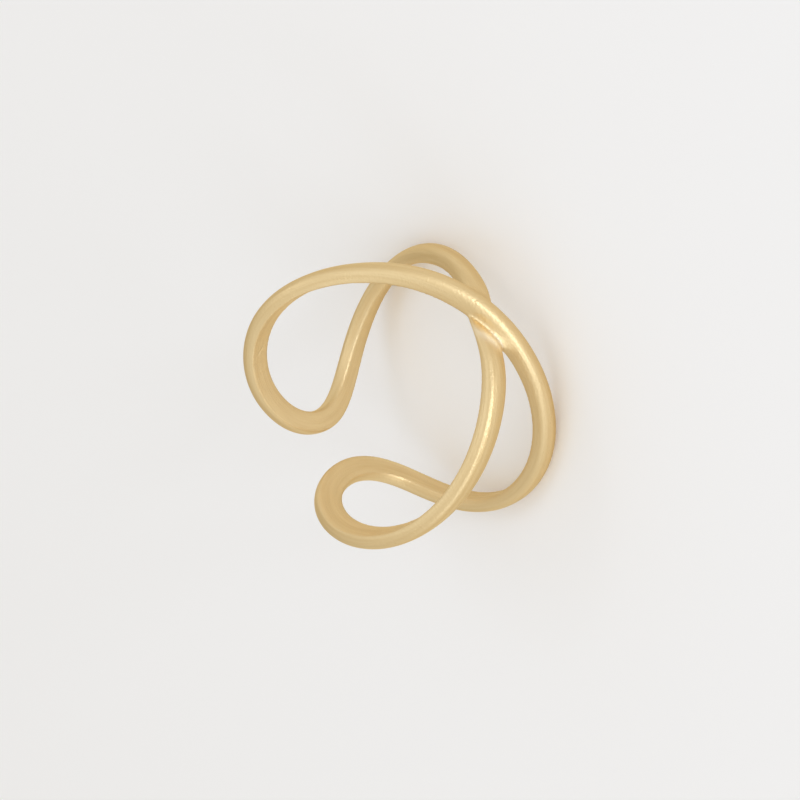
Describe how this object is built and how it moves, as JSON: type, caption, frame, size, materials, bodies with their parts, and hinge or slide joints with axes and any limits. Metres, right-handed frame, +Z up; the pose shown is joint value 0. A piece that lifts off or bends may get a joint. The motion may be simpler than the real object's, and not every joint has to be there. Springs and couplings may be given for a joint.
{
  "type": "open figure-of-eight finger ring",
  "caption": "Open finger ring in satin gold: a slim rounded band crosses over itself at the front and ends in two open loops that reach round the finger.",
  "frame": {"origin": "on the surface that the ring lies on, under the middle of its box", "axes": "+Z up as the ring lies on its side, -Y towards the crossing, +X towards the right loop seen from the crossing"},
  "size_m": [0.0202, 0.0206, 0.0147],
  "materials": {
    "satin_gold": "satin-brushed yellow gold, 14 carat"
  },
  "bodies": {
    "root": {"band": "satin_gold"}
  },
  "joints": []
}
